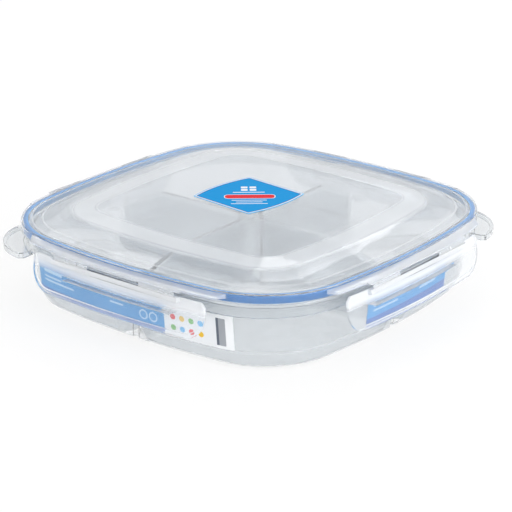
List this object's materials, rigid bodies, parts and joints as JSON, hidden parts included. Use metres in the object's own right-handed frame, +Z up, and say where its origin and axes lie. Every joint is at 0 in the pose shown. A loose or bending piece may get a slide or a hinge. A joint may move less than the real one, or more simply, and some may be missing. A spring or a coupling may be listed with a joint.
{
  "type": "snack box",
  "caption": "Square clear snack box with a cross divider, a domed lid on a seal, and side flaps that swing on thin webs and snap under the tray's flange.",
  "frame": {"origin": "under the middle of the base, on the surface that the box stands on", "axes": "+Z up, the front wall towards -Y, the right wall towards +X"},
  "size_m": [0.286, 0.286, 0.0633],
  "materials": {
    "clear_plastic": "clear polypropylene, slightly cloudy, glossy",
    "lid_plastic": "milky clear polypropylene, glossy",
    "seal_silicone": "soft blue silicone, satin",
    "printed_film": "printed plastic film"
  },
  "bodies": {
    "tray": {"tray": "clear_plastic", "front_label": "printed_film", "right_label": "printed_film"},
    "lid": {"lid": "lid_plastic", "seal": "seal_silicone", "lid_label": "printed_film"},
    "flap_front": {"flap_front": "lid_plastic"},
    "flap_right": {"flap_right": "lid_plastic"},
    "flap_rear": {"flap_rear": "lid_plastic"},
    "flap_left": {"flap_left": "lid_plastic"}
  },
  "joints": [
    {"name": "lid_lift", "type": "slide", "parent": "tray", "child": "lid", "axis": [0, 0, 1], "range_m": [0, 0.06]},
    {"name": "flap_front_hinge", "type": "hinge", "parent": "lid", "child": "flap_front", "pos_m": [0, -0.1392, 0.0515], "axis": [-1, 0, 0], "range_deg": [-6.5, 135]},
    {"name": "flap_right_hinge", "type": "hinge", "parent": "lid", "child": "flap_right", "pos_m": [0.1392, 0, 0.0515], "axis": [0, -1, 0], "range_deg": [-6.5, 135]},
    {"name": "flap_rear_hinge", "type": "hinge", "parent": "lid", "child": "flap_rear", "pos_m": [0, 0.1392, 0.0515], "axis": [1, 0, 0], "range_deg": [-6.5, 135]},
    {"name": "flap_left_hinge", "type": "hinge", "parent": "lid", "child": "flap_left", "pos_m": [-0.1392, 0, 0.0515], "axis": [0, 1, 0], "range_deg": [-6.5, 135]}
  ]
}
